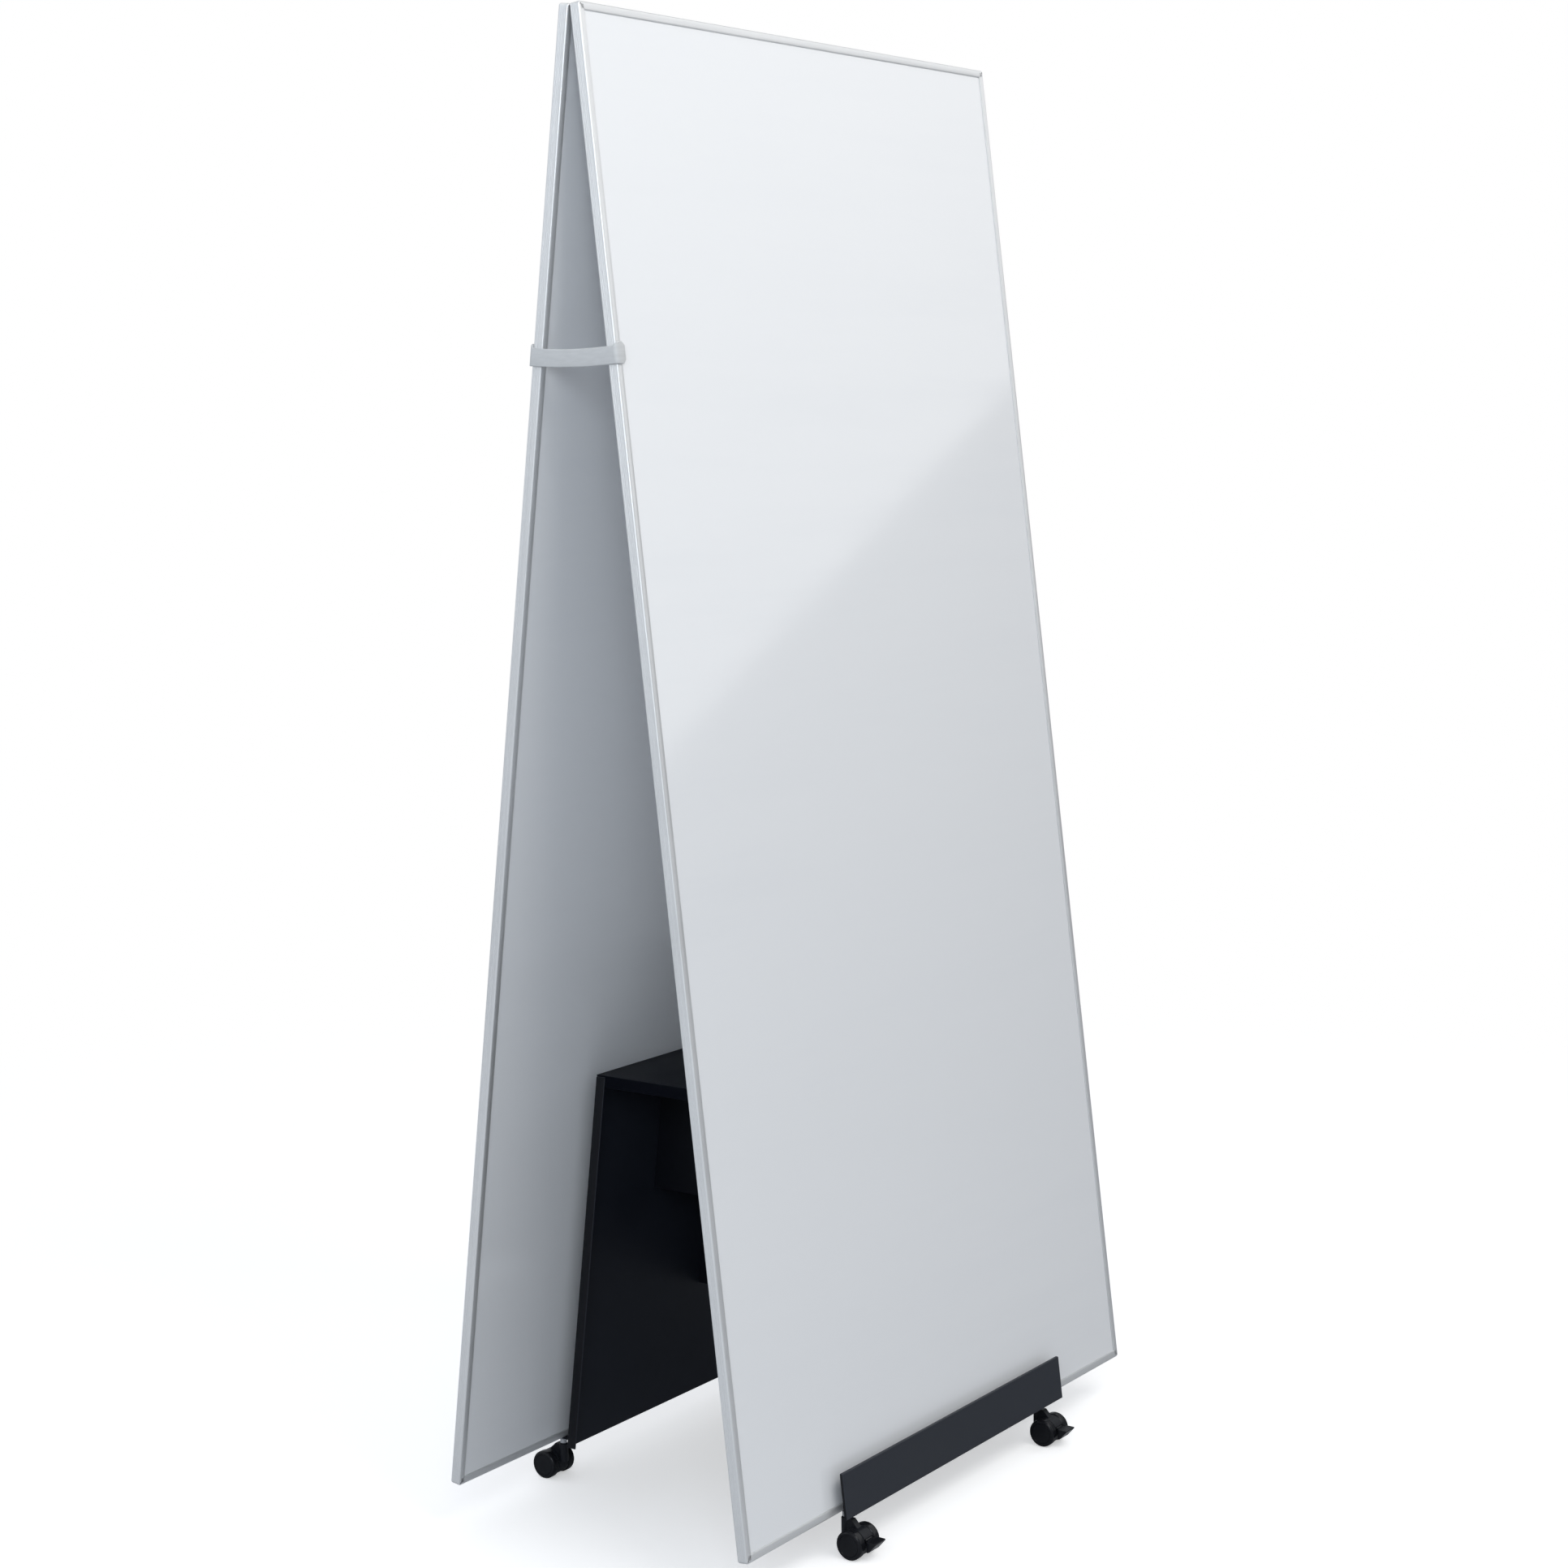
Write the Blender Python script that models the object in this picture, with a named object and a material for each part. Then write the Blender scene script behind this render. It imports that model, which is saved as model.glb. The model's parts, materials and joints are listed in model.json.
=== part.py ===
"""Rolling A-frame whiteboard: two framed boards that lean together in a steel caddy on castors.

Metres, +Z up, floor at Z = 0. X runs along the boards' width, and the front board is on the -Y side.
The origin is the middle of the footprint on the floor. Left is -X and right is +X.
"""
import math

import bmesh
import bpy
from mathutils import Vector

GAP = 0.0003                      # clearance between pieces that touch

# Boards
BOARD_WIDTH = 0.900
BOARD_HEIGHT = 1.800
BOARD_DEPTH = 0.014
LEAN = math.radians(6.72)         # each board's tilt from the vertical
RIDGE_GAP = 0.0014                # between the two boards at their top inner edges

# Mitred frame channel around each board
FRAME_FACE = 0.010                # width of the visible band
FRAME_BACK = 0.0016               # outer wall of the channel
FRAME_LIP = 0.0014                # front and back walls of the channel
FRAME_ROUND = 0.0020              # radius of the outer edges
FRAME_ROUND_STEPS = 3
MITRE_GAP = 0.00015               # half of the joint between two members

# Panel held in the frame, and the keys that join the frame's corners
PANEL_INSET = 0.0050              # from the frame's outer edge to the panel's edge
SHEET_OUTSIDE = 0.0053            # from the middle plane to a writing sheet's face
SHEET_THICKNESS = 0.0004
KEY_LENGTH = 0.040
KEY_THICKNESS = 0.0024

# Caddy of folded sheet steel
CADDY_HALF_LENGTH = 0.264
CADDY_TOP = 0.5488
STEEL = 0.0020
WALL_SETBACK = 0.0218             # from a board's inner face to the wall behind it
END_FLANGE = 0.0135               # folded in at the open ends
LID_FLANGE = 0.0150               # folded down at the open ends
SHELF_TOP = 0.0555
UPSTAND_HEIGHT = 0.030
TRAY_HALF_LENGTH = 0.242
LIP_STANDOFF = 0.0145             # from a board's outer face to the lip's outer face
LIP_THICKNESS = 0.0040
LIP_TOP = 0.1090
BRACE_X = 0.1225
BRACE_FLANGE = 0.012
SIDE_BRACE_BOTTOM = 0.370
CENTRE_BRACE_BOTTOM = 0.208

# Twin-wheel castors
CASTOR_X = 0.234
CASTOR_Y = 0.219
TRAIL = 0.017                     # from the swivel axis to the wheels' axle
WHEEL_RADIUS = 0.018
WHEEL_WIDTH = 0.0125
WHEEL_SHOULDER = 0.003
WHEEL_DOME = 0.0008
BODY_HALF_WIDTH = 0.0092
BODY_RADIUS = 0.0171              # of the hood between the wheels
BODY_BOTTOM = 0.0065
BOSS_RADIUS = 0.0058              # round post that holds the stem's socket
BOSS_BOTTOM = 0.021
BOSS_TOP = 0.0450
BOSS_CHAMFER = 0.001
RIB_HALF_WIDTH = 0.0045           # rib from the post to the hood
RIB_SHOULDER = 0.0105             # where the rib starts to slope down
RIB_REACH = 0.0195
RIB_LOW = 0.0345
STEM_RADIUS = 0.0030
STEM_BOTTOM = 0.026
STEM_COLLAR_RADIUS = 0.0045
AXLE_RADIUS = 0.0020
AXLE_HALF_LENGTH = 0.0188
RUNNING_CLEARANCE = 0.0001
BORE_SEGMENTS = 24
WHEEL_SEGMENTS = 32

# Brake pedals on the two front castors
PEDAL_ANGLE = math.radians(20.0)  # direction of the pivot from the axle, above the horizontal
PEDAL_PIVOT_RADIUS = 0.0151       # distance of the pivot from the axle
PEDAL_NOTCH_RADIUS = 0.0027
PEDAL_THICKNESS = 0.0024
PEDAL_ARM_HALF_WIDTH = 0.0070
PEDAL_HALF_WIDTH = 0.0115
PEDAL_ARM_END = 0.0047            # where the arm widens into the apron, from the pivot
PEDAL_APRON_END = 0.0083
PEDAL_APRON_DROP = 0.0126         # how far the apron hangs below the pivot
PEDAL_TIP = 0.0185

# Clip that ties the boards' left edges together
STRAP_CENTRE_Z = 1.443
STRAP_HEIGHT = 0.021
STRAP_THICKNESS = 0.0035
STRAP_LEG_LENGTH = 0.0120         # how far a leg reaches over the frame's face
STRAP_LEG_RISE = 0.0050           # how far a leg stands above the web
STRAP_SAG = 0.0025
STRAP_STEPS = 12

# Derived values
BOARD_BOTTOM = SHELF_TOP + GAP
RIDGE_Z = BOARD_BOTTOM + BOARD_HEIGHT * math.cos(LEAN)
CADDY_BOTTOM = SHELF_TOP - STEEL
LID_UNDERSIDE = CADDY_TOP - STEEL
WHEEL_INNER_X = BODY_HALF_WIDTH + GAP
SIDES = {"front": 0.0, "rear": math.pi}
ENDS = {"left": -1.0, "right": 1.0}

# name: (base colour, roughness, metallic)
FINISHES = {
    "satin_aluminium": ((0.68, 0.70, 0.72), 0.35, 1.0),
    "writing_enamel": ((0.86, 0.87, 0.88), 0.12, 0.0),
    "panel_core": ((0.60, 0.55, 0.46), 0.85, 0.0),
    "key_plastic": ((0.10, 0.10, 0.11), 0.50, 0.0),
    "anthracite_steel": ((0.030, 0.034, 0.042), 0.55, 0.0),
    "zinc_steel": ((0.55, 0.56, 0.58), 0.30, 1.0),
    "castor_plastic": ((0.012, 0.012, 0.014), 0.40, 0.0),
    "clip_plastic": ((0.45, 0.47, 0.49), 0.45, 0.0),
}


def clear_scene():
    """Remove every object that the file holds."""
    for thing in list(bpy.data.objects):
        bpy.data.objects.remove(thing, do_unlink=True)


def make_materials():
    """One Principled material for each finish."""
    made = {}
    for name, (colour, roughness, metallic) in FINISHES.items():
        material = bpy.data.materials.new(name)
        material.use_nodes = True
        shader = material.node_tree.nodes["Principled BSDF"]
        shader.inputs["Base Color"].default_value = (*colour, 1.0)
        shader.inputs["Roughness"].default_value = roughness
        shader.inputs["Metallic"].default_value = metallic
        made[name] = material
    return made


def add_empty(name, location, rotation=(0.0, 0.0, 0.0), parent=None):
    """A named frame that parts hang on."""
    empty = bpy.data.objects.new(name, None)
    empty.location = location
    empty.rotation_euler = rotation
    empty.parent = parent
    bpy.context.collection.objects.link(empty)
    return empty


def add_part(name, mesh, material, parent=None, location=(0.0, 0.0, 0.0)):
    """One sub-part with its finish."""
    part = bpy.data.objects.new(name, mesh)
    part.location = location
    part.parent = parent
    mesh.materials.append(material)
    bpy.context.collection.objects.link(part)
    return part


def finish_mesh(name, bm, smooth=False):
    """Turn a bmesh into a mesh whose faces point out."""
    bmesh.ops.recalc_face_normals(bm, faces=bm.faces)
    mesh = bpy.data.meshes.new(name)
    bm.to_mesh(mesh)
    bm.free()
    if smooth:
        mesh.shade_smooth()
        mesh.set_sharp_from_angle(angle=math.radians(35.0))
    return mesh


def loft(name, loops, smooth=False):
    """A closed body through loops of equally many points, with flat ends."""
    bm = bmesh.new()
    rings = [[bm.verts.new(point) for point in loop] for loop in loops]
    for low, high in zip(rings, rings[1:]):
        for i in range(len(low)):
            j = (i + 1) % len(low)
            bm.faces.new((low[i], low[j], high[j], high[i]))
    bm.faces.new(reversed(rings[0]))
    bm.faces.new(rings[-1])
    return finish_mesh(name, bm, smooth)


def box(name, low, high):
    """A rectangular block between two corners."""
    outline = [(low[0], low[1]), (high[0], low[1]), (high[0], high[1]), (low[0], high[1])]
    return loft(name, [[(x, y, z) for x, y in outline] for z in (low[2], high[2])])


def extrude_along_x(name, outline, start, end, smooth=False):
    """A prism along X from an outline of (y, z) points."""
    return loft(name, [[(x, y, z) for y, z in outline] for x in (start, end)], smooth)


def turn(name, profile, segments, place):
    """A body turned from (along, radius) points; place maps (along, u, v) to x, y, z.

    A point with radius 0 closes the body on the axis.
    """
    bm = bmesh.new()
    rings = []
    for along, radius in profile:
        if radius == 0.0:
            rings.append([bm.verts.new(place(along, 0.0, 0.0))])
            continue
        angles = [2.0 * math.pi * i / segments for i in range(segments)]
        rings.append([bm.verts.new(place(along, radius * math.cos(a), radius * math.sin(a)))
                      for a in angles])
    for first, second in zip(rings, rings[1:]):
        for i in range(segments):
            j = (i + 1) % segments
            corners = [first[i % len(first)], first[j % len(first)],
                       second[j % len(second)], second[i % len(second)]]
            bm.faces.new(list(dict.fromkeys(corners)))
    return finish_mesh(name, bm, smooth=True)


def around_x(along, u, v):
    """Place a turned profile on the X axis."""
    return (along, u, v)


def around_z(along, u, v):
    """Place a turned profile on the Z axis."""
    return (u, v, along)


def arc(centre, radius, start, end, steps):
    """Points of an arc, angles in radians, both ends included."""
    angles = [start + (end - start) * i / steps for i in range(steps + 1)]
    return [(centre[0] + radius * math.cos(a), centre[1] + radius * math.sin(a)) for a in angles]


def add_boolean(part, tool, operation):
    """Join a tool to a part or cut it away, and keep the tool out of the model."""
    tool.hide_render = True
    tool.display_type = "WIRE"
    modifier = part.modifiers.new(operation.lower(), "BOOLEAN")
    modifier.operation = operation
    modifier.solver = "EXACT"
    modifier.object = tool


def add_bevel(part, width, segments=1):
    """Round a part's sharp edges."""
    modifier = part.modifiers.new("bevel", "BEVEL")
    modifier.width = width
    modifier.segments = segments
    modifier.limit_method = "ANGLE"
    modifier.angle_limit = math.radians(40.0)


def board_plane_y(z, outward):
    """Y, on the rear side, at height z and a distance outward of a board's inner face."""
    return RIDGE_GAP / 2 + (RIDGE_Z - z) * math.tan(LEAN) + outward / math.cos(LEAN)


# ---- Boards -------------------------------------------------------------------------------------

def frame_section():
    """Channel section as (inward from the outer edge, depth) points, open towards the panel."""
    half = BOARD_DEPTH / 2
    corner = half - FRAME_ROUND
    section = arc((FRAME_ROUND, -corner), FRAME_ROUND, math.pi, 1.5 * math.pi, FRAME_ROUND_STEPS)
    section += [(FRAME_FACE, -half), (FRAME_FACE, -half + FRAME_LIP)]
    section += [(FRAME_BACK, -half + FRAME_LIP), (FRAME_BACK, half - FRAME_LIP)]
    section += [(FRAME_FACE, half - FRAME_LIP), (FRAME_FACE, half)]
    section += arc((FRAME_ROUND, corner), FRAME_ROUND, 0.5 * math.pi, math.pi, FRAME_ROUND_STEPS)
    return section


def frame_member(name, length, place):
    """One mitred frame member; place maps (along, inward, depth) to x, y, z."""
    section = frame_section()
    starts = [place(inward + MITRE_GAP, inward, depth) for inward, depth in section]
    ends = [place(length - inward - MITRE_GAP, inward, depth) for inward, depth in section]
    return loft(name, [starts, ends], smooth=True)


def member_places():
    """How each frame member lies on a board whose bottom middle is the origin."""
    half = BOARD_WIDTH / 2
    return {
        "bottom_rail": (BOARD_WIDTH, lambda a, u, v: (a - half, v, u)),
        "top_rail": (BOARD_WIDTH, lambda a, u, v: (a - half, v, BOARD_HEIGHT - u)),
        "left_stile": (BOARD_HEIGHT, lambda a, u, v: (u - half, v, a)),
        "right_stile": (BOARD_HEIGHT, lambda a, u, v: (half - u, v, a)),
    }


def corner_key(name, x_side, at_top):
    """L-shaped key in the channel at one corner."""
    near = FRAME_BACK + GAP
    far = near + KEY_THICKNESS
    half_depth = BOARD_DEPTH / 2 - FRAME_LIP - GAP
    outline = [(near, near), (KEY_LENGTH, near), (KEY_LENGTH, far),
               (far, far), (far, KEY_LENGTH), (near, KEY_LENGTH)]

    def place(u, v, y):
        x = x_side * (BOARD_WIDTH / 2 - u)
        return (x, y, BOARD_HEIGHT - v if at_top else v)

    return loft(name, [[place(u, v, y) for u, v in outline] for y in (-half_depth, half_depth)])


def panel_layer(name, low_y, high_y):
    """A full-size layer of the panel between two depths."""
    half = BOARD_WIDTH / 2 - PANEL_INSET
    return box(name, (-half, low_y, PANEL_INSET), (half, high_y, BOARD_HEIGHT - PANEL_INSET))


def add_board(side, materials):
    """One double-sided board; local +Y faces the other board."""
    spin = SIDES[side]
    mid_y = -board_plane_y(BOARD_BOTTOM, 0.0) - BOARD_DEPTH / 2 * math.cos(LEAN)
    place = Vector((0.0, mid_y, BOARD_BOTTOM + BOARD_DEPTH / 2 * math.sin(LEAN)))
    if spin:
        place.y = -place.y
    board = add_empty(f"{side}_board", place, (-LEAN, 0.0, spin))

    sheet_back = SHEET_OUTSIDE - SHEET_THICKNESS
    layers = {
        "core": (-sheet_back + GAP, sheet_back - GAP, "panel_core"),
        "inner_sheet": (sheet_back, SHEET_OUTSIDE, "writing_enamel"),
        "outer_sheet": (-SHEET_OUTSIDE, -sheet_back, "writing_enamel"),
    }
    for layer, (low, high, finish) in layers.items():
        name = f"{side}_board_{layer}"
        add_part(name, panel_layer(name, low, high), materials[finish], board)

    for member, (length, where) in member_places().items():
        name = f"{side}_board_{member}"
        add_part(name, frame_member(name, length, where), materials["satin_aluminium"], board)

    for end, x_side in ENDS.items():
        for level in ("bottom", "top"):
            name = f"{side}_board_{level}_{end}_corner_key"
            mesh = corner_key(name, x_side, level == "top")
            add_part(name, mesh, materials["key_plastic"], board)


# ---- Caddy --------------------------------------------------------------------------------------

def add_wall(side, materials):
    """One leaning wall with its open-end flanges folded inwards."""
    sign = 1.0 if SIDES[side] else -1.0
    length = CADDY_HALF_LENGTH

    def outline(z):
        outer = board_plane_y(z, -WALL_SETBACK)
        inner = outer - STEEL / math.cos(LEAN)
        edge = outer - END_FLANGE
        points = [(-length, outer), (length, outer), (length, edge), (length - STEEL, edge),
                  (length - STEEL, inner), (-length + STEEL, inner), (-length + STEEL, edge),
                  (-length, edge)]
        return [(x, sign * y, z) for x, y in points]

    name = f"caddy_{side}_wall"
    mesh = loft(name, [outline(CADDY_BOTTOM), outline(LID_UNDERSIDE - GAP)])
    add_part(name, mesh, materials["anthracite_steel"])


def add_lid(materials):
    """Flat lid with a flange folded down at each open end."""
    length = CADDY_HALF_LENGTH

    def outline(z):
        y = board_plane_y(z, -WALL_SETBACK)
        return [(-length, -y, z), (length, -y, z), (length, y, z), (-length, y, z)]

    mesh = loft("caddy_lid", [outline(LID_UNDERSIDE), outline(CADDY_TOP)])
    lid = add_part("caddy_lid", mesh, materials["anthracite_steel"])
    reach = board_plane_y(CADDY_TOP, -WALL_SETBACK) - END_FLANGE - GAP
    for end, x_side in ENDS.items():
        name = f"lid_{end}_flange_tool"
        xs = sorted((x_side * length, x_side * (length - STEEL)))
        flange = box(name, (xs[0], -reach, CADDY_TOP - LID_FLANGE),
                     (xs[1], reach, CADDY_TOP - STEEL / 2))
        add_boolean(lid, add_part(name, flange, materials["anthracite_steel"]), "UNION")


def add_brace(name, x, bottom, materials):
    """Cross plate under the lid, with a flange folded along each wall."""

    def outline(z):
        outer = board_plane_y(z, -WALL_SETBACK) - STEEL / math.cos(LEAN) - GAP
        inner = outer - STEEL / math.cos(LEAN)
        points = [(x, -outer), (x + BRACE_FLANGE, -outer), (x + BRACE_FLANGE, -inner),
                  (x + STEEL, -inner), (x + STEEL, inner), (x + BRACE_FLANGE, inner),
                  (x + BRACE_FLANGE, outer), (x, outer)]
        return [(px, py, z) for px, py in points]

    mesh = loft(name, [outline(bottom), outline(LID_UNDERSIDE - GAP)])
    add_part(name, mesh, materials["anthracite_steel"])


def add_tray(side, materials):
    """Channel that a board stands in: an upstand and a shelf, with a longer lip in front."""
    sign = 1.0 if SIDES[side] else -1.0
    upstand_top = SHELF_TOP + UPSTAND_HEIGHT
    lip_outside = BOARD_DEPTH + LIP_STANDOFF
    lip_inside = lip_outside - LIP_THICKNESS

    def at(outward, z):
        return (sign * board_plane_y(z, outward), z)

    back = -WALL_SETBACK + GAP
    channel = [at(back, CADDY_BOTTOM), at(back, upstand_top), at(back + STEEL, upstand_top),
               at(back + STEEL, SHELF_TOP), at(lip_inside + STEEL / 2, SHELF_TOP),
               at(lip_inside + STEEL / 2, CADDY_BOTTOM)]
    lip = [at(lip_inside, CADDY_BOTTOM), at(lip_inside, LIP_TOP), at(lip_outside, LIP_TOP),
           at(lip_outside, CADDY_BOTTOM)]
    name = f"{side}_tray"
    mesh = extrude_along_x(name, lip, -CADDY_HALF_LENGTH, CADDY_HALF_LENGTH)
    tray = add_part(name, mesh, materials["anthracite_steel"])
    shelf = extrude_along_x(f"{side}_shelf_tool", channel, -TRAY_HALF_LENGTH, TRAY_HALF_LENGTH)
    tool = add_part(f"{side}_shelf_tool", shelf, materials["anthracite_steel"])
    add_boolean(tray, tool, "UNION")


# ---- Castors ------------------------------------------------------------------------------------

def hood_outline():
    """Side outline of the hood as (y, z); the axle lies at -Y of the swivel axis."""
    axle = (-TRAIL, WHEEL_RADIUS)
    bottom = math.asin((WHEEL_RADIUS - BODY_BOTTOM) / BODY_RADIUS)
    return arc(axle, BODY_RADIUS, -bottom, math.pi + bottom, 24)


def rib_outline():
    """Side outline of the rib between the post and the hood, as (y, z)."""
    top = BOSS_TOP - BOSS_CHAMFER
    return [(0.0, top), (-RIB_SHOULDER, top), (-RIB_REACH, RIB_LOW),
            (-RIB_REACH, BOSS_BOTTOM), (0.0, BOSS_BOTTOM)]


def pedal_pivot():
    """Y and Z of a brake pedal's pivot, from the swivel axis on the floor."""
    return (-TRAIL - PEDAL_PIVOT_RADIUS * math.cos(PEDAL_ANGLE),
            WHEEL_RADIUS + PEDAL_PIVOT_RADIUS * math.sin(PEDAL_ANGLE))


def add_housing(castor, name, braked, materials):
    """Hood between the wheels and its post, with the socket, the axle bore and the pedal's notch."""
    finish = materials["castor_plastic"]
    mesh = extrude_along_x(name, hood_outline(), -BODY_HALF_WIDTH, BODY_HALF_WIDTH, smooth=True)
    housing = add_part(name, mesh, finish, castor)

    boss = turn(name + "_boss_tool", [(BOSS_BOTTOM, 0.0), (BOSS_BOTTOM, BOSS_RADIUS),
                                      (BOSS_TOP - BOSS_CHAMFER, BOSS_RADIUS),
                                      (BOSS_TOP, BOSS_RADIUS - BOSS_CHAMFER), (BOSS_TOP, 0.0)],
                BORE_SEGMENTS, around_z)
    add_boolean(housing, add_part(name + "_boss_tool", boss, finish, castor), "UNION")
    rib = extrude_along_x(name + "_rib_tool", rib_outline(), -RIB_HALF_WIDTH, RIB_HALF_WIDTH)
    add_boolean(housing, add_part(name + "_rib_tool", rib, finish, castor), "UNION")

    over = 0.002
    socket_radius = STEM_RADIUS + RUNNING_CLEARANCE
    socket = turn(name + "_socket_tool",
                  [(STEM_BOTTOM - over / 2, 0.0), (STEM_BOTTOM - over / 2, socket_radius),
                   (BOSS_TOP + over, socket_radius), (BOSS_TOP + over, 0.0)],
                  BORE_SEGMENTS, around_z)
    add_boolean(housing, add_part(name + "_socket_tool", socket, finish, castor), "DIFFERENCE")

    bore_radius = AXLE_RADIUS + RUNNING_CLEARANCE
    reach = BODY_HALF_WIDTH + over
    bore = turn(name + "_bore_tool", [(-reach, 0.0), (-reach, bore_radius), (reach, bore_radius),
                                      (reach, 0.0)], BORE_SEGMENTS, around_x)
    tool = add_part(name + "_bore_tool", bore, finish, castor, (0.0, -TRAIL, WHEEL_RADIUS))
    add_boolean(housing, tool, "DIFFERENCE")

    if braked:
        y, z = pedal_pivot()
        mouth = PEDAL_NOTCH_RADIUS + over
        notch = arc((0.0, 0.0), PEDAL_NOTCH_RADIUS, -0.3 * math.pi, 0.5 * math.pi, 8)
        notch += [(-mouth, PEDAL_NOTCH_RADIUS), (-mouth, -2.5 * PEDAL_NOTCH_RADIUS)]
        mesh = extrude_along_x(name + "_notch_tool", notch, -reach, reach)
        tool = add_part(name + "_notch_tool", mesh, finish, castor, (0.0, y, z))
        add_boolean(housing, tool, "DIFFERENCE")


def wheel_profile():
    """Half section of a wheel as (along, radius), with a blind bore on its inner side."""
    bore = AXLE_RADIUS + RUNNING_CLEARANCE
    bore_end = AXLE_HALF_LENGTH + GAP
    inner = WHEEL_INNER_X
    outer = inner + WHEEL_WIDTH
    shoulder = arc((outer - WHEEL_DOME - WHEEL_SHOULDER, WHEEL_RADIUS - WHEEL_SHOULDER),
                   WHEEL_SHOULDER, 0.5 * math.pi, 0.0, 3)
    profile = [(bore_end, 0.0), (bore_end, bore), (inner, bore), (inner, WHEEL_RADIUS - GAP)]
    profile += [(inner + GAP, WHEEL_RADIUS)] + shoulder
    profile += [(outer, WHEEL_RADIUS / 2), (outer, 0.0)]
    return profile


def add_pedal(castor, name, materials):
    """Brake pedal with an apron in front of the wheels; its origin is on its pivot."""
    thick = PEDAL_THICKNESS / 2
    hub = PEDAL_NOTCH_RADIUS - 0.0006
    arm = PEDAL_ARM_HALF_WIDTH
    wide = PEDAL_HALF_WIDTH
    drop = PEDAL_APRON_DROP
    # distance out from the pivot, half width, lowest z, highest z
    stations = [(-hub, arm, -hub / 2, hub / 2), (-hub / 2, arm, -hub, hub),
                (hub / 2, arm, -hub, hub), (hub, arm, -thick, thick),
                (PEDAL_ARM_END, arm, -thick, thick),
                (PEDAL_ARM_END + thick / 2, wide, -drop, thick),
                (PEDAL_APRON_END, wide, thick - drop, thick),
                (PEDAL_TIP - thick, wide, -thick, thick),
                (PEDAL_TIP, wide - thick, 0.0, thick)]
    loops = [[(-w, -out, low), (w, -out, low), (w, -out, high), (-w, -out, high)]
             for out, w, low, high in stations]
    y, z = pedal_pivot()
    add_part(name, loft(name, loops), materials["castor_plastic"], castor, (0.0, y, z))


def add_castor(side, end, materials):
    """One castor: fixed stem, swivelling body, axle, two wheels and, at the front, a pedal."""
    spin = SIDES[side]
    y = CASTOR_Y if spin else -CASTOR_Y
    base = f"castor_{side}_{end}"
    castor = add_empty(base, (ENDS[end] * CASTOR_X, y, 0.0), (0.0, 0.0, spin))

    stem = turn(base + "_stem", [(CADDY_BOTTOM - GAP, 0.0), (CADDY_BOTTOM - GAP, STEM_COLLAR_RADIUS),
                                 (BOSS_TOP + GAP, STEM_COLLAR_RADIUS),
                                 (BOSS_TOP + GAP, STEM_RADIUS), (STEM_BOTTOM, STEM_RADIUS),
                                 (STEM_BOTTOM, 0.0)], BORE_SEGMENTS, around_z)
    add_part(base + "_stem", stem, materials["zinc_steel"], castor)
    add_housing(castor, base + "_housing", side == "front", materials)

    axle_place = (0.0, -TRAIL, WHEEL_RADIUS)
    axle = turn(base + "_axle", [(-AXLE_HALF_LENGTH, 0.0), (-AXLE_HALF_LENGTH, AXLE_RADIUS),
                                 (AXLE_HALF_LENGTH, AXLE_RADIUS), (AXLE_HALF_LENGTH, 0.0)],
                BORE_SEGMENTS, around_x)
    add_part(base + "_axle", axle, materials["zinc_steel"], castor, axle_place)

    for wheel_end, x_side in ENDS.items():
        name = f"{base}_{wheel_end}_wheel"
        # the castors at the rear face the other way, so their local left is the object's right
        local_side = -x_side if spin else x_side
        profile = [(local_side * along, radius) for along, radius in wheel_profile()]
        wheel = turn(name, profile, WHEEL_SEGMENTS, around_x)
        add_part(name, wheel, materials["castor_plastic"], castor, axle_place)

    if side == "front":
        add_pedal(castor, base + "_brake_pedal", materials)


# ---- Clip between the boards ---------------------------------------------------------------------

def strap_path():
    """Plan path as (x, y, normal x, normal y, is on a leg), from one leg's tip to the other's.

    The path is the clip's inner face at its own mid height, and the normal points outwards.
    """
    leg_y = board_plane_y(STRAP_CENTRE_Z, BOARD_DEPTH) + GAP
    web_x = -BOARD_WIDTH / 2 - GAP
    tip_x = web_x + GAP + STRAP_LEG_LENGTH
    path = [(tip_x, leg_y, 0.0, 1.0, True), (web_x, leg_y, -1.0, 1.0, True)]
    for i in range(1, STRAP_STEPS):
        path.append((web_x, leg_y * (1.0 - 2.0 * i / STRAP_STEPS), -1.0, 0.0, False))
    path += [(web_x, -leg_y, -1.0, -1.0, True), (tip_x, -leg_y, 0.0, -1.0, True)]
    return path, leg_y


def add_strap(materials):
    """A web along the boards' left edges, and a taller leg over each board's outer face."""
    path, leg_y = strap_path()
    half = STRAP_HEIGHT / 2
    loops = []
    for x, y, nx, ny, on_leg in path:
        sag = STRAP_SAG * (1.0 - (y / leg_y) ** 2)
        top = half + STRAP_LEG_RISE if on_leg else half
        outer_x = x + nx * STRAP_THICKNESS
        outer_y = y + ny * STRAP_THICKNESS
        loop = []
        for px, py, level in ((x, y, -half), (outer_x, outer_y, -half),
                              (outer_x, outer_y, top), (x, y, top)):
            # the legs follow the boards' lean, and the web's points spread with them
            spread = 1.0 - level * math.tan(LEAN) / leg_y
            loop.append((px, py * spread, STRAP_CENTRE_Z + level - sag))
        loops.append(loop)
    part = add_part("left_strap", loft("left_strap", loops), materials["clip_plastic"])
    add_bevel(part, 0.0008, 2)


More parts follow.
